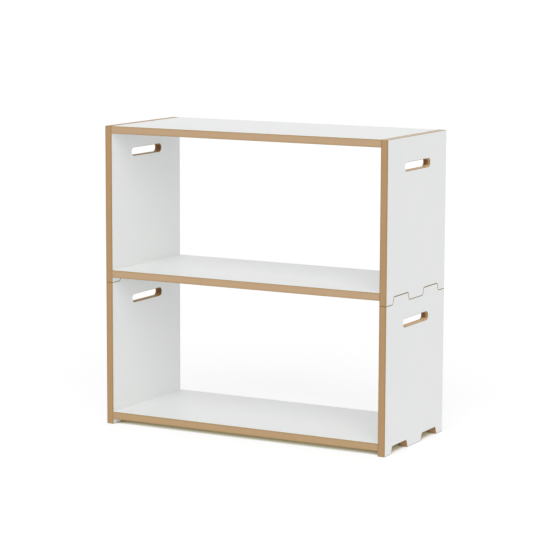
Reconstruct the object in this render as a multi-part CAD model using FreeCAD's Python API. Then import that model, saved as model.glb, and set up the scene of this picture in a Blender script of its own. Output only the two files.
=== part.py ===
import FreeCAD, Part
import math
import os

from FreeCAD import Placement, Rotation, Vector

# Open bookcase of two stacking modules, in white-coated board with bare board edges.
#
# The lower module is two side panels and a bottom shelf. The upper module is two side panels,
# a middle shelf and a top shelf. The lower side panels end in tongues. The upper side panels
# stand on the shoulders beside the tongues, with notches over them, and lift straight off.
# The same notches in the lower panels leave three feet under each side.
#
# Each shelf end is held to its side panel by a cam and its bolt over the middle foot, and by
# two dowels over the outer feet, because the board above a notch has no room for them.
#
# Frame: +X to the right, +Y to the back, +Z up. The origin is on the floor, under the middle.
# Sizes are in millimetres and angles in degrees.

# ---- The case ----
WIDTH = 800.0              # over both side panels
DEPTH = 340.0
BOARD = 19.0               # thickness of every board
CLEAR_HEIGHT = 352.5       # from a shelf's top to the underside of the shelf above
SHELF_LIFT = 13.0          # from the bottom of a module to the underside of its lower shelf
EDGE_BREAK = 1.0           # chamfer that breaks the edges of the boards

# ---- Tongues and notches ----
TONGUE_WIDTH = 93.0        # at its root
TONGUE_HEIGHT = 18.5
TONGUE_LEAN = 18.0         # of each flank, from upright
TONGUE_RADIUS = 6.0        # of its corners and of its roots
TONGUE_PLAY = 0.5          # from a tongue to the notch around it
FOOT_WIDTH = 37.0          # from the front or back edge to the nearest tongue's root

# ---- Hand slots ----
SLOT_LENGTH = 146.0
SLOT_WIDTH = 21.0          # its ends are full half circles
SLOT_DROP = 73.5           # from the highest edge of the panel down to the slot's centre

# ---- Cams ----
CAM_SETBACK = 34.0         # from the shelf's end to the cam's axis
CAM_BORE = 15.0
CAM_BORE_DEPTH = 14.5
CAM_PLAY = 0.1             # between the cam and the wall of its bore
CAM_END_PLAY = 0.3         # between the cam and each end of its bore
ECCENTRICITY = 0.5         # of the cam's channel, which draws the bolt in
GRIP_PLAY = 0.05           # between the locked channel and the bolt's head
CHANNEL_PLAY = 0.2         # above, below and beside the bolt in the channel
DRIVER_LENGTH = 7.0        # cross recess for the screwdriver
DRIVER_WIDTH = 1.3
DRIVER_DEPTH = 3.5
POINTER_DEPTH = 0.4        # arrow beside the recess, which points at the bolt when locked
POINTER_SIZE = 2.0
POINTER_INSET = 0.6        # from the rim of the cam to the arrow's tip

# ---- Cam bolts ----
THREAD_DIAMETER = 5.0
THREAD_LENGTH = 11.0
SHANK_DIAMETER = 7.0
SHANK_BORE = 8.0
SHANK_GAP = 0.6            # from the end of the shank to the bore of the cam
NECK_DIAMETER = 3.2
HEAD_DIAMETER = 5.5
HEAD_LENGTH = 3.4
HEAD_TAPER = 1.2           # length of the cone under the head
HEAD_REACH = 5.3           # from the cam's axis to the start of the head

# ---- Dowels ----
DOWEL_DIAMETER = 8.0
DOWEL_IN_SIDE = 12.0
DOWEL_IN_SHELF = 20.0

# ---- Fit of the bolts and dowels in their holes ----
HOLE_PLAY = 0.05           # between a thread or dowel and the wall of its hole
HOLE_SPARE = 0.5           # from its end to the bottom of its hole

# ---- Heights and places that follow from the sizes above ----
PITCH = BOARD + CLEAR_HEIGHT                  # from one module's bottom to the next one's
LOWER_TOP = PITCH + TONGUE_HEIGHT
BOTTOM_SHELF_Z = SHELF_LIFT
MIDDLE_SHELF_Z = PITCH + SHELF_LIFT
TOP_SHELF_Z = MIDDLE_SHELF_Z + PITCH
HEIGHT = TOP_SHELF_Z + BOARD
SHELF_LENGTH = WIDTH - 2 * BOARD
TONGUE_Y = DEPTH / 2 - FOOT_WIDTH - TONGUE_WIDTH / 2   # from mid-depth to a tongue's middle
DOWEL_Y = (DEPTH - FOOT_WIDTH) / 2                     # from mid-depth to a dowel's axis

X_AXIS = Vector(1, 0, 0)
Z_AXIS = Vector(0, 0, 1)
SAME_PLACE = 1e-6


# ---- Outlines, in the plane X = 0 ----

def rounded_face(corners):
    """A face from (y, z, radius) corners, in order round it."""
    points = [Vector(0, y, z) for y, z, _ in corners]
    starts = []
    ends = []
    edges = []
    for i, (point, (_, _, radius)) in enumerate(zip(points, corners)):
        back = (points[i - 1] - point).normalize()
        ahead = (points[(i + 1) % len(points)] - point).normalize()
        half_angle = back.getAngle(ahead) / 2
        cut = radius / math.tan(half_angle)
        starts.append(point + back * cut)
        ends.append(point + ahead * cut)
        if radius:
            inwards = (back + ahead).normalize()
            middle = point + inwards * (radius / math.sin(half_angle) - radius)
            edges.append(Part.Arc(starts[i], middle, ends[i]).toShape())
    for i, start in enumerate(starts):
        if (start - ends[i - 1]).Length > SAME_PLACE:
            edges.append(Part.makeLine(ends[i - 1], start))
    return Part.Face(Part.Wire(Part.__sortEdges__(edges)))


def tooth(centre, root_z, height, play):
    """Corners, front to back, of a tongue, or of the notch that clears it by the play."""
    lean = math.radians(TONGUE_LEAN)
    root = TONGUE_WIDTH / 2 + play / math.cos(lean)
    tip = root - height * math.tan(lean)
    return [
        (centre - root, root_z, TONGUE_RADIUS),
        (centre - tip, root_z + height, TONGUE_RADIUS),
        (centre + tip, root_z + height, TONGUE_RADIUS),
        (centre + root, root_z, TONGUE_RADIUS),
    ]


def side_face(bottom, shoulder, tongues):
    """A side panel's outline: notches along the bottom, and tongues or a straight top."""
    front = -DEPTH / 2
    back = DEPTH / 2
    corners = [(front, bottom, 0)]
    for centre in (-TONGUE_Y, TONGUE_Y):
        corners += tooth(centre, bottom, TONGUE_HEIGHT + TONGUE_PLAY, TONGUE_PLAY)
    corners += [(back, bottom, 0), (back, shoulder, 0)]
    if tongues:
        for centre in (TONGUE_Y, -TONGUE_Y):
            corners += reversed(tooth(centre, shoulder, TONGUE_HEIGHT, 0))
    corners.append((front, shoulder, 0))
    return rounded_face(corners)


def slot_face(centre_z):
    """The hand slot's outline, with round ends."""
    y = SLOT_LENGTH / 2
    radius = SLOT_WIDTH / 2
    low = centre_z - radius
    high = centre_z + radius
    return rounded_face([(-y, low, radius), (y, low, radius), (y, high, radius), (-y, high, radius)])


# ---- Boards ----

def drilled(board, diameter, depth, start, direction):
    return board.cut(Part.makeCylinder(diameter / 2, depth, start, direction))


def lies_on(edge, *planes):
    """Whether an edge lies on each of the planes, given as (axis, distance from the origin)."""
    return all(
        abs(abs(getattr(v, axis)) - distance) < SAME_PLACE
        for v in edge.Vertexes for axis, distance in planes)


def side_panel(side, bottom, shoulder, tongues, shelves):
    """A side panel, side -1 for left and 1 for right, drilled for the shelves at these heights."""
    top = shoulder + TONGUE_HEIGHT if tongues else shoulder
    panel = side_face(bottom, shoulder, tongues).extrude(X_AXIS * BOARD)
    panel = panel.cut(slot_face(top - SLOT_DROP).extrude(X_AXIS * BOARD))
    panel = panel.makeChamfer(EDGE_BREAK, [
        edge for edge in panel.Edges
        if lies_on(edge, ("X", 0))
        or lies_on(edge, ("X", BOARD))
        or lies_on(edge, ("Y", DEPTH / 2), ("Z", bottom))
        or lies_on(edge, ("Y", DEPTH / 2), ("Z", shoulder))])
    # So far the panel is a left one with its outer face on X = 0.
    for shelf_z in shelves:
        middle = shelf_z + BOARD / 2
        panel = drilled(
            panel, THREAD_DIAMETER, THREAD_LENGTH + HOLE_SPARE, Vector(BOARD, 0, middle), -X_AXIS)
        for y in (-DOWEL_Y, DOWEL_Y):
            panel = drilled(
                panel, DOWEL_DIAMETER, DOWEL_IN_SIDE + HOLE_SPARE, Vector(BOARD, y, middle), -X_AXIS)
    panel.translate(X_AXIS * (-WIDTH / 2))
    return panel if side < 0 else panel.mirror(Vector(0, 0, 0), X_AXIS)


def shelf(shelf_z):
    """A shelf between the side panels, drilled in both ends and bored from below for the cams."""
    corner = Vector(-SHELF_LENGTH / 2, -DEPTH / 2, shelf_z)
    board = Part.makeBox(SHELF_LENGTH, DEPTH, BOARD, corner)
    board = board.makeChamfer(EDGE_BREAK, [
        edge for edge in board.Edges if edge.BoundBox.XLength > SHELF_LENGTH / 2])
    for side in (-1, 1):
        end = Vector(side * SHELF_LENGTH / 2, 0, shelf_z + BOARD / 2)
        inwards = X_AXIS * -side
        board = drilled(board, SHANK_BORE, CAM_SETBACK, end, inwards)
        below_cam = Vector(side * (SHELF_LENGTH / 2 - CAM_SETBACK), 0, shelf_z)
        board = drilled(board, CAM_BORE, CAM_BORE_DEPTH, below_cam, Z_AXIS)
        for y in (-DOWEL_Y, DOWEL_Y):
            start = end + Vector(0, y, 0)
            board = drilled(board, DOWEL_DIAMETER, DOWEL_IN_SHELF + HOLE_SPARE, start, inwards)
    return board


# ---- Fittings, each drawn for a left end, in its own place there ----

def cam():
    """A locked cam, with its axis on Z, its face at Z = 0 and its bolt coming from -X.

    The bolt's head lies in a round channel whose centre is off the cam's axis. As the cam turns,
    the neck runs along a slot in the front half of the wall. Half a turn takes the channel's wall
    off the head and brings the entry window to the bolt.
    """
    radius = CAM_BORE / 2 - CAM_PLAY
    across = 2 * radius
    bolt_z = BOARD / 2 - CAM_END_PLAY
    neck = NECK_DIAMETER / 2 + CHANNEL_PLAY
    head = HEAD_DIAMETER / 2 + CHANNEL_PLAY

    # The corners of the head that lie farthest from the cam's axis set the size of the channel.
    head_reach = max(
        math.hypot(HEAD_REACH, NECK_DIAMETER / 2),
        math.hypot(HEAD_REACH - HEAD_TAPER, HEAD_DIAMETER / 2))
    channel_radius = head_reach + GRIP_PLAY + ECCENTRICITY
    channel = Part.makeCylinder(channel_radius, 2 * head, Vector(ECCENTRICITY, 0, bolt_z - head))
    solid_back = Part.makeBox(across, across, 2 * head, Vector(-radius, head, bolt_z - head))
    slot = Part.makeBox(2 * across, across, 2 * neck, Vector(-across, neck - across, bolt_z - neck))
    window = Part.makeBox(across, 2 * head, 2 * head, Vector(0, -head, bolt_z - head))

    arm = Part.makeBox(
        DRIVER_LENGTH, DRIVER_WIDTH, DRIVER_DEPTH, Vector(-DRIVER_LENGTH / 2, -DRIVER_WIDTH / 2, 0))
    other_arm = arm.copy()
    other_arm.rotate(Vector(0, 0, 0), Z_AXIS, 90)
    tip = POINTER_INSET - radius
    pointer = Part.Face(Part.makePolygon([
        Vector(tip, 0, 0),
        Vector(tip + POINTER_SIZE, POINTER_SIZE / 2, 0),
        Vector(tip + POINTER_SIZE, -POINTER_SIZE / 2, 0),
        Vector(tip, 0, 0)])).extrude(Z_AXIS * POINTER_DEPTH)

    body = Part.makeCylinder(radius, CAM_BORE_DEPTH - 2 * CAM_END_PLAY)
    return body.cut([channel.cut(solid_back), slot, window, arm, other_arm, pointer])


def cam_bolt():
    """A bolt along X, with its thread in the side panel, its neck and its head in the cam."""
    thread = THREAD_DIAMETER / 2 - HOLE_PLAY
    shank = SHANK_DIAMETER / 2
    neck = NECK_DIAMETER / 2
    head = HEAD_DIAMETER / 2
    shank_end = CAM_SETBACK - CAM_BORE / 2 - SHANK_GAP
    head_start = CAM_SETBACK - HEAD_REACH
    head_end = head_start + HEAD_LENGTH
    outline = Part.makePolygon([
        Vector(-THREAD_LENGTH, 0, 0),
        Vector(-THREAD_LENGTH, 0, thread),
        Vector(0, 0, thread),
        Vector(0, 0, shank),
        Vector(shank_end, 0, shank),
        Vector(shank_end, 0, neck),
        Vector(head_start, 0, neck),
        Vector(head_start + HEAD_TAPER, 0, head),
        Vector(head_end, 0, head),
        Vector(head_end, 0, 0),
        Vector(-THREAD_LENGTH, 0, 0)])
    return Part.Face(outline).revolve(Vector(0, 0, 0), X_AXIS, 360)


def dowel():
    """A dowel along X, part of it in the side panel and part in the shelf."""
    length = DOWEL_IN_SIDE + DOWEL_IN_SHELF
    radius = DOWEL_DIAMETER / 2 - HOLE_PLAY
    return Part.makeCylinder(radius, length, Vector(-DOWEL_IN_SIDE, 0, 0), X_AXIS)


def at_end(shape, side, inset, y, z):
    """A copy of a fitting at a shelf's end, turned round for the right end."""
    turn = Rotation(Z_AXIS, 0 if side < 0 else 180)
    placed = shape.copy()
    placed.Placement = Placement(Vector(side * (SHELF_LENGTH / 2 - inset), y, z), turn)
    return placed


# ---- The bookcase ----

SIDES = {"left": -1, "right": 1}
SHELVES = {
    "bottom_shelf": BOTTOM_SHELF_Z,
    "middle_shelf": MIDDLE_SHELF_Z,
    "top_shelf": TOP_SHELF_Z,
}

pieces = {}
for side_name, side in SIDES.items():
    pieces[f"lower_{side_name}_side"] = side_panel(side, 0, PITCH, True, [BOTTOM_SHELF_Z])
    pieces[f"upper_{side_name}_side"] = side_panel(
        side, PITCH, HEIGHT, False, [MIDDLE_SHELF_Z, TOP_SHELF_Z])
for shelf_name, shelf_z in SHELVES.items():
    middle = shelf_z + BOARD / 2
    pieces[shelf_name] = shelf(shelf_z)
    pieces[f"{shelf_name}_cam_bolts"] = Part.makeCompound(
        [at_end(cam_bolt(), side, 0, 0, middle) for side in SIDES.values()])
    for side_name, side in SIDES.items():
        pieces[f"{shelf_name}_{side_name}_cam"] = at_end(
            cam(), side, CAM_SETBACK, 0, shelf_z + CAM_END_PLAY)
        pieces[f"{shelf_name}_{side_name}_dowels"] = Part.makeCompound(
            [at_end(dowel(), side, 0, y, middle) for y in (-DOWEL_Y, DOWEL_Y)])

os.makedirs("parts", exist_ok=True)
for name, shape in pieces.items():
    shape.exportStep(f"parts/{name}.step")
print(f"{len(pieces)} pieces, {WIDTH:.0f} x {DEPTH:.0f} x {HEIGHT:.0f} mm")
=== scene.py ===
# %% [markdown]
# # A bookcase of two stacking modules
#
# The bookcase is made of seven flat boards. Their big faces carry a white coating, and their cut
# edges are left bare and oiled, so every outline shows as a thin tan line. The lower module has
# tongues on top of its side panels, and the upper module stands over them with notches.
#
# The packed CAD model is loaded first. It is the fixed frame: each piece below is placed by it,
# in metres, and moves with its bodies.

# %% Load the frame
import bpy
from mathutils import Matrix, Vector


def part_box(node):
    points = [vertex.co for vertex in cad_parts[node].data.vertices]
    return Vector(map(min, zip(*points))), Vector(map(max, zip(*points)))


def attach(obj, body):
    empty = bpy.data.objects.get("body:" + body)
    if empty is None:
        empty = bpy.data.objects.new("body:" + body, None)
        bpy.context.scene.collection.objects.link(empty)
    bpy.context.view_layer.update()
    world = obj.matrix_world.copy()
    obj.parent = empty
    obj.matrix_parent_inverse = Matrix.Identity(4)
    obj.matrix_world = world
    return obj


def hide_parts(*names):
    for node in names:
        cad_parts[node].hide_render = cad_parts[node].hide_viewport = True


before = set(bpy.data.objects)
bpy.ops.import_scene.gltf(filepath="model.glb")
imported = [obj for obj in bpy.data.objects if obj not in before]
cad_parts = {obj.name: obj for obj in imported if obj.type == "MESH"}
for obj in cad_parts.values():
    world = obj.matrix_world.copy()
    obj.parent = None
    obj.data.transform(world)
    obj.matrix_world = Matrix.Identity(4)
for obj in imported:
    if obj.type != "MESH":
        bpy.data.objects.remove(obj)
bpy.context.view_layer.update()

import math

import bmesh
import bpy
from mathutils import Matrix, Vector

# %% [markdown]
# ## The sizes
#
# A cabinet maker works from a short list of sizes. The boards' own places are measured from the
# frame, and only what can't be read off a box is written down here: the shape of the tongues, the
# hand slots and the bores. Keeping them together makes each one easy to find and to change.

# %% Sizes, in metres
MM = 0.001

lowest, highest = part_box("lower_left_side")
BOARD = highest.x - lowest.x
DEPTH = highest.y - lowest.y
OUTER_X = -lowest.x
INNER_X = -highest.x

EDGE_ROUND = 1.0 * MM       # where sandpaper has taken the sharpness off a board's edges
CORNER_ROUND = 1.3 * MM     # the same, on the upright corners of a side panel
TONGUE_WIDTH = 93 * MM      # at its root
TONGUE_HEIGHT = 18.5 * MM
TONGUE_LEAN = math.radians(18)
TONGUE_ROUND = 6 * MM
NOTCH_PLAY = 0.5 * MM       # between a tongue and the notch that drops over it
FOOT_WIDTH = 37 * MM        # from the front or back edge to the first notch
SLOT_LENGTH = 146 * MM
SLOT_WIDTH = 21 * MM
SLOT_DROP = 73.5 * MM       # from the highest edge of the panel to the middle of the slot

CAM_BORE = 15 * MM
CAM_BORE_DEPTH = 14.5 * MM
SHANK_BORE = 8 * MM
THREAD_BORE = 5 * MM
THREAD_BORE_DEPTH = 11.5 * MM
DOWEL_BORE = 8 * MM
DOWEL_BORE_IN_SIDE = 12.5 * MM
DOWEL_BORE_IN_SHELF = 20.5 * MM

print(f"boards {BOARD / MM:.1f} mm thick and {DEPTH / MM:.0f} mm deep")

# %% [markdown]
# ## The camera
#
# A long lens from a few metres away keeps the sides of a piece of furniture almost parallel. The
# camera is turned in three steps, as on the head of a tripod: it swings left towards the case,
# tips down a little, and leans by a hair. Building the turn from three simple rotations is easier
# to read than one set of mixed angles.

# %% Camera
CAMERA_PLACE = Vector((2.710, -5.011, 1.250))
CAMERA_SWING = math.radians(28.38)
CAMERA_TIP = math.radians(8.51)
CAMERA_LEAN = math.radians(0.23)
LEVEL = math.radians(90)    # a camera that isn't turned at all looks straight down
LENS = 147.3                # in millimetres, as written on a lens
SENSOR_WIDTH = 36           # in millimetres

camera = bpy.data.objects.new("camera", bpy.data.cameras.new("camera"))
bpy.context.scene.collection.objects.link(camera)
camera.data.sensor_width = SENSOR_WIDTH
camera.data.lens = LENS
camera.matrix_world = (
    Matrix.Translation(CAMERA_PLACE)
    @ Matrix.Rotation(CAMERA_SWING, 4, "Z")
    @ Matrix.Rotation(LEVEL - CAMERA_TIP, 4, "X")
    @ Matrix.Rotation(CAMERA_LEAN, 4, "Z"))
bpy.context.scene.camera = camera
bpy.context.scene.view_settings.view_transform = "Standard"
print(f"camera {CAMERA_PLACE.length:.2f} m from the foot of the bookcase")

# %% [markdown]
# ## Writing finishes as sums
#
# A finish in Blender is a net of small nodes. Wiring dozens of Math nodes by hand hides the idea
# behind them, so a `Wire` stands for one value on its way through the net. Adding or multiplying
# wires lays the matching Math node, also when the number comes first, as in `1 - mask`. Every
# other node comes from `Finish.node`, which takes the node's type, its settings and its inputs.

# %% A value on its way through the nodes
class Wire:
    """One value on its way through the nodes of a finish."""

    def __init__(self, finish, socket):
        self.finish = finish
        self.socket = socket

    def _math(self, operation, *values):
        return self.finish.node(
            "ShaderNodeMath", {"operation": operation}, dict(enumerate(values)))

    def __add__(self, other):
        return self._math("ADD", self, other)

    def __radd__(self, other):
        return self._math("ADD", other, self)

    def __sub__(self, other):
        return self._math("SUBTRACT", self, other)

    def __rsub__(self, other):
        return self._math("SUBTRACT", other, self)

    def __mul__(self, other):
        return self._math("MULTIPLY", self, other)

    def __rmul__(self, other):
        return self._math("MULTIPLY", other, self)

    def __abs__(self):
        return self._math("ABSOLUTE", self)


print("a wire is:", Wire.__doc__)


# %% A net of nodes that makes one finish
class Finish:
    """The nodes of one material, or of the world."""

    def __init__(self, name, owner=None):
        self.owner = owner or bpy.data.materials.new(name)
        self.owner.use_nodes = True
        self.nodes = self.owner.node_tree.nodes
        self.links = self.owner.node_tree.links
        self.nodes.clear()

    def node(self, kind, settings=None, inputs=None, output=0):
        """Adds a node, sets it up, feeds its inputs by name or number, and gives one output."""
        made = self.nodes.new(kind)
        for setting, value in (settings or {}).items():
            setattr(made, setting, value)
        for place, value in (inputs or {}).items():
            if isinstance(value, Wire):
                self.links.new(value.socket, made.inputs[place])
            else:
                made.inputs[place].default_value = value
        return Wire(self, made.outputs[output]) if made.outputs else None

    def noise(self, place, per_metre, detail=2.0, roughness=0.5):
        return self.node("ShaderNodeTexNoise", None, {
            "Vector": place, "Scale": per_metre, "Detail": detail, "Roughness": roughness})

    def stretched(self, place, factors):
        return self.node("ShaderNodeVectorMath", {"operation": "MULTIPLY"}, {0: place, 1: factors})

    def part(self, place, axis):
        """One of the three numbers of a place."""
        return self.node("ShaderNodeSeparateXYZ", None, {0: place}, axis)

    def either(self, first, *others):
        """The largest of some values."""
        for other in others:
            first = self.node("ShaderNodeMath", {"operation": "MAXIMUM"}, {0: first, 1: other})
        return first

    def rise(self, value, low, high, how="LINEAR"):
        """0 below low, 1 above high and a straight rise from one to the other."""
        return self.node(
            "ShaderNodeMapRange", {"interpolation_type": how},
            {"Value": value, "From Min": low, "From Max": high})

    def smooth_rise(self, value, low, high):
        """The same with a soft start and end."""
        return self.rise(value, low, high, "SMOOTHSTEP")

    def blend(self, amount, first, second):
        """A colour that goes from the first to the second as the amount goes from 0 to 1."""
        # The Mix node keeps its colours behind its numbers and vectors: at 6 and 7, out of 2.
        return self.node(
            "ShaderNodeMix", {"data_type": "RGBA"}, {0: amount, 6: first, 7: second}, output=2)

    def mixed(self, amount, first, second):
        """A surface that goes from the first to the second in the same way."""
        return self.node("ShaderNodeMixShader", None, {0: amount, 1: first, 2: second})

    def relief(self, height, strength, depth):
        """Fine unevenness, which only turns the light."""
        return self.node(
            "ShaderNodeBump", None, {"Strength": strength, "Distance": depth, "Height": height})

    def finish_with(self, shader, kind="ShaderNodeOutputMaterial"):
        self.node(kind, None, {"Surface": shader})
        return self.owner

    def solid(self, looks):
        """Ends the net in the one surface that suits nearly every solid thing."""
        return self.finish_with(self.node("ShaderNodeBsdfPrincipled", None, looks))


trial = 1 - abs(Finish("trial").node("ShaderNodeValue")) * 2
print("1 - abs(value) * 2 lays", [
    node.operation for node in trial.finish.nodes if node.type == "MATH"])
bpy.data.materials.remove(trial.finish.owner)


# %% Colours
def colour(red, green, blue):
    """A colour as painters' charts give it, from 0 to 255, turned into amounts of light."""
    def light(step):
        # The curve that every screen uses: straight near black, and a power above.
        step = step / 255
        return step / 12.92 if step <= 0.04045 else ((step + 0.055) / 1.055) ** 2.4
    return (light(red), light(green), light(blue), 1.0)


def grey(part):
    """A grey that gives back this part of the light."""
    return (part, part, part, 1.0)


WHITE = grey(1.0)
print("mid grey is", [round(part, 3) for part in colour(128, 128, 128)])

# %% [markdown]
# ## The stage
#
# The bookcase stands on a seamless white floor in a white room. The floor could be lit until it
# turns white, but that would burn out the white boards too. So the light stays moderate. For the
# eye of the camera, for reflections and through glass, most of the floor's white is a glow of its
# own, and the rest is still lit by the lamps, so a pale shadow stays on it.
#
# Under the bottom shelf the floor must stay dark. Ambient occlusion tells how open a point is to
# the room, so the glow ends where the case closes in over the floor. The light that gets in there
# comes from the front, so the node's normal leans that way. Where the glow has gone, the lamps
# light a floor painted warm tan, a painted shade in the colour of the bare edges. Deeper in,
# behind the notches, the floor is painted nearly black, as painted deep shade.
#
# A floor hides everything from an eye below it. This one is clear from its back, and it sends
# part of its light up evenly, also under the shelf, so the underside and its cams can be looked
# at too.

# %% Who is looking
def seen_directly(finish):
    """1 for rays from the camera, from reflections and through glass, 0 for rays of light."""
    looks = [finish.node("ShaderNodeLightPath", output=name)
             for name in ("Is Camera Ray", "Is Glossy Ray", "Is Transmission Ray")]
    return finish.either(*looks)


def matt(finish, shade):
    return finish.node("ShaderNodeBsdfDiffuse", None, {"Color": shade})


def glow(finish, strength):
    return finish.node("ShaderNodeEmission", None, {"Color": WHITE, "Strength": strength})


floor_finish = Finish("white_floor")
floor_looked_at = seen_directly(floor_finish)
print("nodes that tell who is looking:", len(floor_finish.nodes))

# %% What the camera sees of the floor
FLOOR_SEEN = 0.36           # the part of its visible white that a shadow can take away
FLOOR_GLOW = 0.69           # the part that stays
CLOSED_IN = 0.12            # how near, in metres, something must be to close the floor in
RAYS = 32                   # how often the node looks round to tell how open a point is
DEEPEST = 0.18              # how open the floor is where its painted deep shade is full
DEEP_UNTIL = 0.32           # how open it is where the painted deep shade ends
SHUT = 0.28                 # how open it is where its glow begins
OPEN_ENOUGH = 0.52          # how open it is where the glow is whole
PAINTED_WARM_SHADE = (0.83, 0.74, 0.46, 1)        # painted warm shade: what the floor gives back where its glow has gone
PAINTED_DEEP_SHADE = (0.04, 0.03, 0.02, 1)   # painted deep shade, where hardly any light gets in
TO_THE_FRONT = {"Y": -0.75, "Z": 0.66}

openness = floor_finish.node(
    "ShaderNodeAmbientOcclusion", {"samples": RAYS},
    {"Distance": CLOSED_IN,
     "Normal": floor_finish.node("ShaderNodeCombineXYZ", None, TO_THE_FRONT)}, "AO")
# Painted shade on the floor: nearly black deep in, warm tan nearer the open front.
painted_shade_floor = floor_finish.mixed(
    floor_finish.rise(openness, DEEPEST, DEEP_UNTIL),
    matt(floor_finish, PAINTED_DEEP_SHADE), matt(floor_finish, PAINTED_WARM_SHADE))
out_of_dusk = floor_finish.rise(openness, SHUT, OPEN_ENOUGH)
glowing_floor = floor_finish.node("ShaderNodeAddShader", None, {
    0: matt(floor_finish, grey(FLOOR_SEEN)), 1: glow(floor_finish, FLOOR_GLOW)})
seen_floor = floor_finish.mixed(out_of_dusk * out_of_dusk, painted_shade_floor, glowing_floor)
print(f"the floor's glow of {FLOOR_GLOW} is gone where the floor is less than {SHUT:.0%} open")

# %% What the floor gives back to the boards
FLOOR_SHADE = 0.88
FLOOR_EVEN = 0.30           # the part of it that no shadow can take away
FLOOR_RETURN = 0.78         # how strong that part is, about as bright as the open floor
FLOOR_REACH = 30.0          # in metres, from the middle to each side
FLOOR_DROP = 0.2 * MM       # below the feet, so that the two never share a plane

returning_floor = floor_finish.mixed(
    FLOOR_EVEN, matt(floor_finish, grey(FLOOR_SHADE)), glow(floor_finish, FLOOR_RETURN))
floor_surface = floor_finish.mixed(
    floor_finish.node("ShaderNodeNewGeometry", output="Backfacing"),
    floor_finish.mixed(floor_looked_at, returning_floor, seen_floor),
    floor_finish.node("ShaderNodeBsdfTransparent"))

floor_mesh = bpy.data.meshes.new("floor")
floor_mesh.from_pydata(
    [(x * FLOOR_REACH, y * FLOOR_REACH, -FLOOR_DROP)
     for x, y in ((-1, -1), (1, -1), (1, 1), (-1, 1))], [], [(0, 1, 2, 3)])
floor_mesh.materials.append(floor_finish.finish_with(floor_surface))
floor = bpy.data.objects.new("floor", floor_mesh)
bpy.context.scene.collection.objects.link(floor)
print(f"floor {2 * FLOOR_REACH:.0f} m wide")

# %% White room
ROOM_LIGHT = 0.63
ROOM_TINT = (0.99, 0.995, 1.0, 1)   # a hair cooler than white
WALL_GLOW = 1.0                     # at which a white wall is seen as white

room = bpy.data.worlds.new("white_room")
bpy.context.scene.world = room
room_finish = Finish("white_room", room)
soft_light = room_finish.node(
    "ShaderNodeBackground", None, {"Color": ROOM_TINT, "Strength": ROOM_LIGHT})
white_wall = room_finish.node(
    "ShaderNodeBackground", None, {"Color": WHITE, "Strength": WALL_GLOW})
room_finish.finish_with(
    room_finish.mixed(seen_directly(room_finish), soft_light, white_wall),
    "ShaderNodeOutputWorld")
print(f"room light {ROOM_LIGHT}")

# %% [markdown]
# ## The lamp
#
# White furniture looks best in very soft light, in which its faces differ by a few shades and no
# shadow has an edge. Most of it here is the room's own light. One more source stands far off at
# the front on the right, as wide in the sky as a wall of diffusing cloth: it makes the outer side
# and the fronts a little brighter than the faces that look away. A sun lamp with a large angle
# does that, and unlike an area lamp it lights near and far boards alike. The cloth is left out of
# reflections, because the white room is already in them, and both together would burn out the
# top when it is seen against the light.

# %% Wall of soft light
LAMP_BEARING = math.radians(-65)    # from the right, round to the front
LAMP_HEIGHT = math.radians(35)
LAMP_WIDTH = math.radians(60)
LAMP_STRENGTH = 1.51

towards_lamp = Vector((
    math.cos(LAMP_BEARING) * math.cos(LAMP_HEIGHT),
    math.sin(LAMP_BEARING) * math.cos(LAMP_HEIGHT),
    math.sin(LAMP_HEIGHT)))
lamp = bpy.data.objects.new("soft_wall", bpy.data.lights.new("soft_wall", "SUN"))
lamp.data.angle = LAMP_WIDTH
lamp.data.energy = LAMP_STRENGTH
lamp.rotation_euler = towards_lamp.to_track_quat("Z", "Y").to_euler()
lamp.visible_glossy = False
bpy.context.scene.collection.objects.link(lamp)
print("the lamp stands towards", [round(part, 2) for part in towards_lamp])

# %% [markdown]
# ## White coating
#
# The boards are faced with a hard white film with a satin sheen. Up close it isn't quite smooth:
# the pressing leaves a fine pearl, about a millimetre across and a few microns deep, and the tone
# drifts by a percent or so over a board. All of it is read at a point's place on its own board,
# so the pattern stays with the board when the module is lifted off.

# %% The coating's finish
def place_on_board(finish):
    """Along the board, along it the other way, and through its thickness, in metres."""
    return finish.node(
        "ShaderNodeAttribute", {"attribute_name": "place_on_board"}, output="Vector")


def white_coating():
    finish = Finish("white_coating")
    place = place_on_board(finish)
    drift = finish.noise(place, per_metre=6.0, detail=3.0)
    pearl = finish.noise(place, per_metre=1100.0, detail=1.5)
    touches = finish.noise(place, per_metre=14.0, detail=4.0, roughness=0.6)
    handled = finish.smooth_rise(touches, low=0.35, high=0.75)
    return finish.solid({
        "Base Color": finish.blend(drift, colour(237, 239, 239), colour(240, 240, 238)),
        "Roughness": 0.40 + handled * 0.07 + pearl * 0.03,
        "Normal": finish.relief(pearl * 0.7 + drift * 0.3, strength=0.25, depth=0.04 * MM),
        "Specular IOR Level": 0.45})


coating = white_coating()
print(coating.name, "has", len(coating.node_tree.nodes), "nodes")

# %% [markdown]
# ## Oiled board edge
#
# The core of the boards is fine wood fibre pressed with resin. It is densest and darkest just
# under the two faces, and paler in the middle, and the saw shows short fibres lying flat in it.
# Oil brings out the warm brown. The finish follows that: a pale core, darker rims towards the
# faces, streaks that are stretched along the board, and a fine speckle. The rounded arris is
# darkest and draws the thin brown line round every board: partly the oil it soaks up where the
# sandpaper went through the coating, and partly painted shade of the groove where two boards meet.
#
# In the hand slots the finish paints light and shade. The long walls of the right panels' slots
# are painted pale, as painted light falling on them from above, and the left panels' slots are
# painted darker all through, as painted shade. In both, the fibre is painted darker towards the
# inner face and
# darker still in the round ends: painted shade in the recess. The top edge of the upper right
# panel is painted paler than the others, as a painted sheen, and the bottom shelf's edge is a
# little darker.

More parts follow.
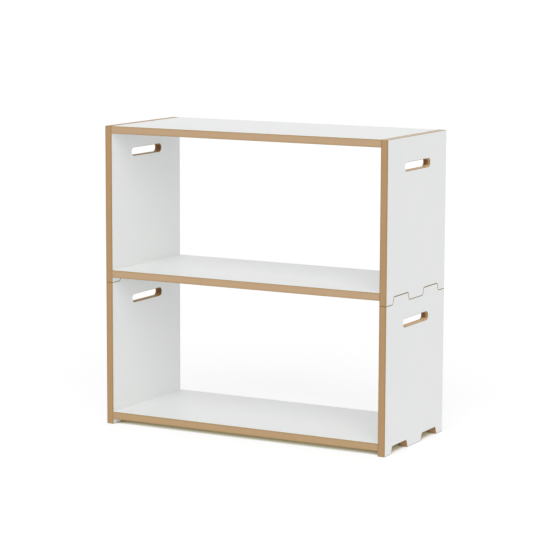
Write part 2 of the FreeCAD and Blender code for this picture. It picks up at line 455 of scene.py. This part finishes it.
# %% Painted shade in the hand slots
# Painted shade colours for the slot walls: towards the inner face, and in the round ends.
SLOT_WALL_SHADE = colour(172, 128, 78)
SLOT_END_SHADE = colour(126, 84, 44)
WANDER = 4 * MM             # how far the border of the painted shade strays
SHADE_FULL_AT = 0.05       # where the painted shade is full, in thicknesses inwards from the middle
END_SHADE_BEGINS = SLOT_LENGTH / 2 - 6 * MM      # from the slot's middle to where the painted shade of a round end begins
END_SHADE_FULL = SLOT_LENGTH / 2 - 1 * MM  # and to where it is full


def painted_slot_shade(finish, place, clouds, fibres, shaded_from):
    """Painted shade: fibre painted darker towards the inner face, and darker still in the round
    ends of a hand slot.
    """
    astray = (clouds - 0.5) * WANDER
    inside = finish.smooth_rise(
        astray - finish.part(place, "Z"), -shaded_from * BOARD, SHADE_FULL_AT * BOARD)
    in_round_end = finish.smooth_rise(abs(finish.part(place, "X")) + astray, END_SHADE_BEGINS, END_SHADE_FULL)
    wall_shaded = finish.blend(inside * 0.3, fibres, SLOT_WALL_SHADE)
    return finish.blend(in_round_end * (0.6 + inside * 0.4), wall_shaded, SLOT_END_SHADE)


print("painted_end_shade fibre gives back", [round(part, 3) for part in SLOT_END_SHADE[:3]])

# %% The edge's finish
ALONG_THE_BOARD = (0.16, 0.16, 1.0)
FLATTENED = (1.0, 1.0, 2.5)
# The arris colour: partly oil soaked up by the fibre, partly painted shade of the groove between
# boards.
ARRIS_OIL_AND_SHADE = colour(146, 122, 50)


def oiled_edge(name, core, rim, corner=ARRIS_OIL_AND_SHADE, shaded_from=None):
    """The last argument is where the painted slot shade begins, in thicknesses outwards from the
    middle.
    """
    finish = Finish(name)
    place = place_on_board(finish)
    towards_face = abs(finish.part(place, "Z")) * (2 / BOARD)
    streaks = finish.noise(
        finish.stretched(place, ALONG_THE_BOARD), per_metre=2600.0, detail=3.0)
    speckle = finish.noise(place, per_metre=3800.0, detail=2.0)
    clouds = finish.noise(finish.stretched(place, FLATTENED), per_metre=45.0, detail=3.0)
    grain = streaks * 0.6 + speckle * 0.4
    density = finish.smooth_rise(towards_face + (clouds - 0.5) * 0.5, low=0.35, high=1.05)
    fibres = finish.blend(density, core, rim)
    # The hand slots get painted shade, darker towards the inner face and in the round ends.
    if shaded_from:
        fibres = painted_slot_shade(finish, place, clouds, fibres, shaded_from)
    dark = finish.smooth_rise(grain, low=0.52, high=0.68)
    pale = finish.smooth_rise(streaks * 0.5 + clouds * 0.5, low=0.54, high=0.70)
    fibres = finish.blend(dark * 0.30, fibres, colour(112, 78, 46))
    fibres = finish.blend(pale * 0.20, fibres, colour(222, 194, 156))
    # Upright corners at the foot and top of each side panel also get the arris colour: painted
    # shade, which draws the joint between the modules darker.
    painted_joint_shade = finish.node("ShaderNodeAttribute", {"attribute_name": "corner"}, output="Fac")
    arris = finish.either(finish.smooth_rise(towards_face, low=0.90, high=0.94), painted_joint_shade)
    return finish.solid({
        "Base Color": finish.blend(arris, fibres, corner),
        "Roughness": 0.50 + streaks * 0.16,
        "Normal": finish.relief(grain, strength=0.4, depth=0.06 * MM),
        "Specular IOR Level": 0.35})


panel_edge = oiled_edge("oiled_panel_edge", colour(175, 140, 100), colour(166, 130, 89))
shelf_edge = oiled_edge("oiled_shelf_edge", colour(187, 157, 123), colour(179, 147, 110))
bottom_edge = oiled_edge("oiled_bottom_edge", colour(181, 151, 113), colour(173, 142, 100))
# Painted light and shade in the hand slots: the right panels' long walls are painted pale as if
# lit from above, the left panels' slots are painted darker all through, and both are painted
# darker towards the inner face and in the round ends.
slot_edges = {
    "left": oiled_edge("slot_edge_painted_shade", colour(188, 154, 98), colour(172, 136, 84),
                       shaded_from=1.2),
    "right": oiled_edge("slot_edge_painted_light_and_shade", colour(246, 218, 174), colour(222, 188, 140),
                        shaded_from=0.42)}
# The upper right panel's top edge is painted paler: a painted sheen, as that edge is seen at a
# grazing angle against the white room.
painted_sheen_edge = oiled_edge(
    "top_edge_painted_sheen", colour(206, 188, 164), colour(198, 180, 152), corner=colour(178, 155, 110))
print("edges:", *(edge.name for edge in (
    panel_edge, shelf_edge, bottom_edge, *slot_edges.values(), painted_sheen_edge)))

# %% [markdown]
# ## Finishes of the fittings
#
# Under each shelf end sits a round cam of cast zinc, which pulls on the head of a steel bolt, and
# beech dowels keep the boards in line. They are small and mostly hidden, but a cast, a turned and
# a wooden surface still catch the light in different ways, so each has a finish of its own.

# %% Cast zinc, turned steel and beech
def own_place(finish):
    """A point's place on its own piece, in metres."""
    return finish.node("ShaderNodeTexCoord", output="Object")


def cast_zinc():
    finish = Finish("cast_zinc")
    place = own_place(finish)
    sand = finish.noise(place, per_metre=2600.0, detail=3.0)
    stain = finish.noise(place, per_metre=260.0, detail=3.0)
    return finish.solid({
        "Base Color": finish.blend(stain, colour(150, 153, 158), colour(186, 188, 190)),
        "Metallic": 1.0,
        "Roughness": 0.34 + sand * 0.16,
        "Normal": finish.relief(sand, strength=0.5, depth=0.05 * MM)})


def turned_steel():
    finish = Finish("turned_steel")
    rings = finish.noise(
        finish.stretched(own_place(finish), (1.0, 0.05, 0.05)), per_metre=7000.0, detail=2.0)
    return finish.solid({
        "Base Color": finish.blend(rings, colour(158, 152, 136), colour(206, 200, 184)),
        "Metallic": 1.0,
        "Roughness": 0.22 + rings * 0.18})


def beech():
    finish = Finish("beech")
    place = own_place(finish)
    grain = finish.noise(
        finish.stretched(place, (0.06, 1.0, 1.0)), per_metre=1500.0, detail=4.0)
    flecks = finish.noise(
        finish.stretched(place, (0.2, 1.0, 1.0)), per_metre=3200.0, detail=1.0)
    plain = finish.blend(grain, colour(204, 164, 120), colour(170, 124, 80))
    flecked = finish.smooth_rise(flecks, low=0.6, high=0.75) * 0.5
    return finish.solid({
        "Base Color": finish.blend(flecked, plain, colour(132, 90, 54)),
        "Roughness": 0.55 + grain * 0.15})


FITTINGS = {"_cam": cast_zinc(), "_cam_bolts": turned_steel(), "_dowels": beech()}
print("fitting finishes:", *(finish.name for finish in FITTINGS.values()))

# %% [markdown]
# ## Outlines with rounded corners
#
# A side panel is cut from a board along one outline: notches below, and tongues or a straight edge
# on top. The router leaves its corners round. A rounded corner could come from a bevel modifier,
# but one that only touches some corners is hard to steer. Here each corner of the outline is
# replaced by points on an arc that touches both of its sides, so every radius is exact.

# %% Rounded outlines
ARC_STEP = math.radians(6)
FEWEST_STEPS = 2


def rounded(corners):
    """Points of a closed outline from its (u, v, radius) corners."""
    points = []
    for i, (u, v, radius) in enumerate(corners):
        corner = Vector((u, v))
        back = (Vector(corners[i - 1][:2]) - corner).normalized()
        ahead = (Vector(corners[(i + 1) % len(corners)][:2]) - corner).normalized()
        half = back.angle(ahead) / 2
        centre = corner + (back + ahead).normalized() * (radius / math.sin(half))
        start = corner + back * (radius / math.tan(half)) - centre
        turn = math.pi - 2 * half
        to_the_left = 1 if back.cross(ahead) < 0 else -1
        steps = max(FEWEST_STEPS, math.ceil(turn / ARC_STEP))
        for step in range(steps + 1):
            swing = to_the_left * turn * step / steps
            points.append(centre + Matrix.Rotation(swing, 2) @ start)
    return points


square = [(0, 0, MM), (1, 0, MM), (1, 1, MM), (0, 1, MM)]
print("points round a square with round corners:", len(rounded(square)))

# %% Tongues and notches
TONGUE_MIDDLE = DEPTH / 2 - FOOT_WIDTH - TONGUE_WIDTH / 2


def tongue(middle, root, height, play):
    """Corners, front to back, of a tongue, or of the notch that clears it by the play."""
    at_root = TONGUE_WIDTH / 2 + play / math.cos(TONGUE_LEAN)
    at_tip = at_root - height * math.tan(TONGUE_LEAN)
    tip = root + height
    return [(middle + reach, z, TONGUE_ROUND) for reach, z in (
        (-at_root, root), (-at_tip, tip), (at_tip, tip), (at_root, root))]


def panel_outline(bottom, shoulder, with_tongues):
    corners = [(-DEPTH / 2, bottom, CORNER_ROUND)]
    for middle in (-TONGUE_MIDDLE, TONGUE_MIDDLE):
        corners += tongue(middle, bottom, TONGUE_HEIGHT + NOTCH_PLAY, NOTCH_PLAY)
    corners += [(DEPTH / 2, bottom, CORNER_ROUND), (DEPTH / 2, shoulder, CORNER_ROUND)]
    if with_tongues:
        for middle in (TONGUE_MIDDLE, -TONGUE_MIDDLE):
            corners += reversed(tongue(middle, shoulder, TONGUE_HEIGHT, 0))
    return rounded(corners + [(-DEPTH / 2, shoulder, CORNER_ROUND)])


lower_outline = panel_outline(lowest.z, highest.z - TONGUE_HEIGHT, True)
print("points round a lower side panel:", len(lower_outline))

# %% Hand slot
HAIR = 0.001 * MM           # keeps the two arcs of a round end from meeting in one point


def slot_outline(middle):
    """Round-ended slot, the other way round from the panel, because it is a hole."""
    reach = SLOT_LENGTH / 2 - HAIR
    radius = SLOT_WIDTH / 2 - HAIR
    low = middle - SLOT_WIDTH / 2
    high = middle + SLOT_WIDTH / 2
    return rounded([
        (-reach, low, radius), (-reach, high, radius), (reach, high, radius),
        (reach, low, radius)])


lower_slot = slot_outline(highest.z - SLOT_DROP)
print("points round a hand slot:", len(lower_slot))

# %% [markdown]
# ## From outline to board
#
# A board is its outline, repeated at a few depths and skinned. At both faces the outline is drawn
# in a little, step by step, which rounds the edges as sandpaper does. One more ring just inside
# the rounding keeps the big faces truly flat in the light: without it, smooth shading would bend
# them near their edges.

# %% Rings of a board
ROUND_STEPS = 3
FLAT_FROM = 1.2 * EDGE_ROUND    # how far in from its edges a face is flat
SHARPEST = 0.2                  # keeps a sharp corner from throwing its inner ring far away


def inward_ways(loop):
    """For each point, the way into the material and how far to go to stay even with the sides."""
    ways = []
    for i, point in enumerate(loop):
        before = (point - loop[i - 1]).normalized()
        after = (loop[(i + 1) % len(loop)] - point).normalized()
        inwards = Vector((-before.y - after.y, before.x + after.x)).normalized()
        ways.append(inwards / max(SHARPEST, inwards.dot(Vector((-before.y, before.x)))))
    return ways


def edge_profile(thickness):
    """(depth, inset) of each ring of a board whose two faces have rounded edges."""
    near = [(0.0, FLAT_FROM)]
    for step in range(ROUND_STEPS + 1):
        angle = math.radians(90) * step / ROUND_STEPS
        near.append((EDGE_ROUND * (1 - math.cos(angle)), EDGE_ROUND * (1 - math.sin(angle))))
    near.append((FLAT_FROM, 0.0))
    return near + [(thickness - depth, inset) for depth, inset in reversed(near)]


print("rings of a side panel:", len(edge_profile(BOARD)))


# %% Skin a board over its rings
def kept_mesh(work, name):
    """Turns a mesh under work into one that stays."""
    mesh = bpy.data.meshes.new(name)
    work.to_mesh(mesh)
    work.free()
    return mesh


def skinned(name, loops, profile, placed):
    """A closed mesh over the loops' rings. placed turns (u, v, depth) into a point in space."""
    work = bmesh.new()
    ends = ([], [])
    for loop in loops:
        ways = inward_ways(loop)
        rings = [[work.verts.new(placed(*(point + way * inset), depth))
                  for point, way in zip(loop, ways)] for depth, inset in profile]
        for near, far in zip(rings, rings[1:]):
            for i in range(len(loop)):
                work.faces.new((near[i - 1], near[i], far[i], far[i - 1]))
        for end, ring in zip(ends, (rings[0], rings[-1])):
            end += [work.edges.get((ring[i - 1], ring[i])) for i in range(len(ring))]
    for end in ends:
        bmesh.ops.triangle_fill(work, edges=end, use_beauty=True)
    bmesh.ops.recalc_face_normals(work, faces=work.faces)
    board = bpy.data.objects.new(name, kept_mesh(work, name))
    bpy.context.scene.collection.objects.link(board)
    return board


print("points in a lower side panel's skin:",
      len(edge_profile(BOARD)) * (len(lower_outline) + len(lower_slot)))

# %% [markdown]
# ## Drilling
#
# The bores for the cams, bolts and dowels are cut with a Boolean modifier, which is the nearest
# thing Blender has to a drill. All the bits of one board are put in one mesh, so each board is
# cut only once, and the result is kept as plain mesh, so nothing has to be worked out again.

# %% Drill a board
BORE_SIDES = 48
START_ABOVE = 1 * MM        # a bit starts outside the board, so that it leaves no skin


def drill_board(board, bores):
    """Cuts (start, direction, diameter, depth) bores, all at once."""
    bits = bmesh.new()
    for start, direction, diameter, depth in bores:
        turn = direction.to_track_quat("Z", "Y").to_matrix().to_4x4()
        middle = start + direction * (depth - START_ABOVE) / 2
        bmesh.ops.create_cone(
            bits, cap_ends=True, segments=BORE_SIDES, radius1=diameter / 2, radius2=diameter / 2,
            depth=depth + START_ABOVE, matrix=Matrix.Translation(middle) @ turn)
    drill = bpy.data.objects.new("drill_bits", kept_mesh(bits, "drill_bits"))
    bpy.context.scene.collection.objects.link(drill)
    cut = board.modifiers.new("bores", "BOOLEAN")
    cut.operation = "DIFFERENCE"
    cut.solver = "EXACT"
    cut.object = drill
    whole = board.data
    board.data = bpy.data.meshes.new_from_object(
        board.evaluated_get(bpy.context.evaluated_depsgraph_get()))
    board.data.name = board.name
    board.modifiers.clear()
    used_up = drill.data
    bpy.data.objects.remove(drill)
    for mesh in (whole, used_up):
        bpy.data.meshes.remove(mesh)


off_round = CAM_BORE / 2 * (1 - math.cos(math.pi / BORE_SIDES))
print(f"the widest bore is at most {off_round / MM:.3f} mm off round")

# %% [markdown]
# ## Coating the boards
#
# Two finishes meet on each board: the coating on its two big faces, and bare fibre on everything
# that a saw, router, drill or sandpaper has touched. A mask painted in the material could divide
# them, but its border would be as coarse as its pixels. Giving each face of the mesh its own
# finish makes a border that stays sharp at any distance.

# %% Where each point lies on its board
AXES = {"X": (1, 2, 0), "Z": (0, 1, 2)}     # along, along the other way, through
CORNER_REACH = 0.95 * CORNER_ROUND          # how near its tip a point lies on a rounded corner


def mark_places(mesh, through, middle, outwards=1, ends=()):
    """Stores each point's place on its board, and whether it lies on a rounded upright corner."""
    along, up, across = AXES[through]
    points = [vertex.co.copy() for vertex in mesh.vertices]
    place = mesh.attributes.new("place_on_board", "FLOAT_VECTOR", "POINT")
    for point, stored in zip(points, place.data):
        stored.vector = (point[along], point[up], outwards * (point[across] - middle))
    # The second list marks the corners at the panel's foot and top, where the edge finish paints
    # shade in the joint.
    # The first list is full before the second is made, because making one can move the other.
    corner = mesh.attributes.new("corner", "FLOAT", "POINT")
    for point, stored in zip(points, corner.data):
        at_end = any(abs(point.z - end) < CORNER_REACH for end in ends)
        stored.value = float(at_end and DEPTH / 2 - abs(point.y) < CORNER_REACH)


print(f"a corner is marked up to {CORNER_REACH / MM:.2f} mm from its tip")

# %% Give each face its finish
NEARLY = 0.01 * MM          # how near a board's surface its flat faces lie
FLAT = 0.999                # how far along its axis a flat face points
SHARP_FROM = math.radians(40)


def coated(board, node, body, through, middle, edges, edge_of):
    """Coats the big faces, gives each other face the edge that edge_of picks, and lets the board
    stand for its CAD node."""
    mesh = board.data
    mesh.materials.clear()
    finishes = [coating, *edges]
    for finish in finishes:
        mesh.materials.append(finish)
    across = AXES[through][2]
    for face in mesh.polygons:
        on_face = abs(abs(face.center[across] - middle) - BOARD / 2) < NEARLY
        is_coated = on_face and abs(face.normal[across]) > FLAT
        face.material_index = finishes.index(coating if is_coated else edge_of(face))
    mesh.shade_smooth()
    mesh.set_sharp_from_angle(angle=SHARP_FROM)
    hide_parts(node)
    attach(board, body)
    white = sum(face.area for face in mesh.polygons if finishes[face.material_index] == coating)
    whole = sum(face.area for face in mesh.polygons)
    print(f"{board.name}: {len(mesh.polygons)} faces, {white:.3f} of {whole:.3f} m2 white")


print("a shading edge stays sharp from", round(math.degrees(SHARP_FROM)), "degrees")

# %% [markdown]
# ## Where the shelves are held
#
# Each shelf end has a bolt and its cam in the middle and a dowel over each outer foot. The same
# places are needed twice, in the side panel's face and in the shelf's end, so one function lists
# the bores on both sides of the joint.

# %% Bores of one shelf end
SIDES = {"left": -1, "right": 1}
DOWEL_Y = (DEPTH - FOOT_WIDTH) / 2


def shelf_heights(shelf):
    low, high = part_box(shelf)
    return low.z, high.z


def bores_at_end(shelf, side_name):
    """The bores in the side panel's face, and those in the shelf."""
    low, high = shelf_heights(shelf)
    cam_low, cam_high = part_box(f"{shelf}_{side_name}_cam")
    cam_x = (cam_low.x + cam_high.x) / 2
    side = SIDES[side_name]
    outwards = Vector((side, 0, 0))
    inwards = Vector((-side, 0, 0))
    end = Vector((side * INNER_X, 0, (low + high) / 2))
    in_side = [(end, outwards, THREAD_BORE, THREAD_BORE_DEPTH)]
    in_shelf = [
        (end, inwards, SHANK_BORE, abs(end.x - cam_x)),
        (Vector((cam_x, 0, low)), Vector((0, 0, 1)), CAM_BORE, CAM_BORE_DEPTH)]
    for y in (-DOWEL_Y, DOWEL_Y):
        start = end + Vector((0, y, 0))
        in_side.append((start, outwards, DOWEL_BORE, DOWEL_BORE_IN_SIDE))
        in_shelf.append((start, inwards, DOWEL_BORE, DOWEL_BORE_IN_SHELF))
    return in_side, in_shelf


print("bores in a side panel and in a shelf's end:", *(
    len(bores) for bores in bores_at_end("bottom_shelf", "left")))

# %% [markdown]
# ## The side panels
#
# Four panels, two for each module. The lower ones have tongues, the upper ones end in a straight
# edge, and both have the same notches and a slot for the hands. A left and a right panel differ
# only in which way their depth runs, so they come from the same lines.

# %% Make the side panels
MODULES = {
    "lower": {"shelves": ["bottom_shelf"], "tongues": True},
    "upper": {"shelves": ["middle_shelf", "top_shelf"], "tongues": False},
}
# The panel whose top edge is painted paler, as a painted sheen.
SHEEN_PAINTED_PANEL = "upper_right_side"
SLOT_MARGIN = 1 * MM        # takes in the rounded edges of a hand slot
UPWARDS = 0.1               # how far up a face must point to belong to the top edge


def make_side_panel(module, side_name):
    side = SIDES[side_name]
    plan = MODULES[module]
    node = f"{module}_{side_name}_side"
    low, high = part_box(node)
    shoulder = high.z - TONGUE_HEIGHT if plan["tongues"] else high.z
    slot_height = high.z - SLOT_DROP

    def edge_of(face):
        if (abs(face.center.z - slot_height) < SLOT_WIDTH / 2 + SLOT_MARGIN
                and abs(face.center.y) < SLOT_LENGTH / 2 + SLOT_MARGIN):
            return slot_edges[side_name]
        on_top = face.center.z > high.z - EDGE_ROUND and face.normal.z > UPWARDS
        return painted_sheen_edge if on_top and node == SHEEN_PAINTED_PANEL else panel_edge

    panel = skinned(
        f"{node}_panel",
        [panel_outline(low.z, shoulder, plan["tongues"]), slot_outline(slot_height)],
        edge_profile(BOARD), lambda y, z, depth: (side * (OUTER_X - depth), y, z))
    drill_board(panel, [
        bore for shelf in plan["shelves"] for bore in bores_at_end(shelf, side_name)[0]])
    middle = side * (OUTER_X + INNER_X) / 2
    mark_places(panel.data, "X", middle, outwards=side, ends=(low.z, shoulder))
    edges = (panel_edge, slot_edges[side_name], painted_sheen_edge)
    coated(panel, node, f"{module}_module", "X", middle, edges, edge_of)


for module in MODULES:
    for side_name in SIDES:
        make_side_panel(module, side_name)

# %% [markdown]
# ## The shelves
#
# A shelf is a plain board between the side panels. Its long edges are rounded and its ends are
# sawn square, because they press against the panels. So the outline here is the shelf's section,
# with four small round corners, and it runs from one end to the other without drawing in.

# %% Make the shelves
def shelf_section(low, high):
    """Rounded section with a point close to each corner, which keeps the faces flat."""
    y = DEPTH / 2
    corners = [Vector(corner) for corner in ((-y, low), (y, low), (y, high), (-y, high))]
    arcs = rounded([(*corner, EDGE_ROUND) for corner in corners])
    count = len(arcs) // len(corners)
    points = []
    for i, corner in enumerate(corners):
        back = (corners[i - 1] - corner).normalized()
        ahead = (corners[(i + 1) % len(corners)] - corner).normalized()
        points += [
            corner + back * FLAT_FROM, *arcs[i * count:(i + 1) * count],
            corner + ahead * FLAT_FROM]
    return points


def make_shelf(name, body, edge):
    low, high = shelf_heights(name)
    board = skinned(
        f"{name}_board", [shelf_section(low, high)], [(0.0, 0.0), (2 * INNER_X, 0.0)],
        lambda y, z, depth: (depth - INNER_X, y, z))
    drill_board(board, [
        bore for side_name in SIDES for bore in bores_at_end(name, side_name)[1]])
    middle = (low + high) / 2
    mark_places(board.data, "Z", middle)
    coated(board, name, body, "Z", middle, (edge,), lambda face: edge)


make_shelf("bottom_shelf", "lower_module", bottom_edge)
make_shelf("middle_shelf", "upper_module", shelf_edge)
make_shelf("top_shelf", "upper_module", shelf_edge)

# %% [markdown]
# ## The fittings
#
# The cams, bolts and dowels keep the shapes that the frame gives them and only get their finish.
# They are turned and sawn parts with crisp edges, so there is nothing to round.

# %% Finish the fittings
for name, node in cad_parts.items():
    for ending, finish in FITTINGS.items():
        if name.endswith(ending):
            node.data.materials.clear()
            node.data.materials.append(finish)
            print(f"{name}: {finish.name}")

# %% [markdown]
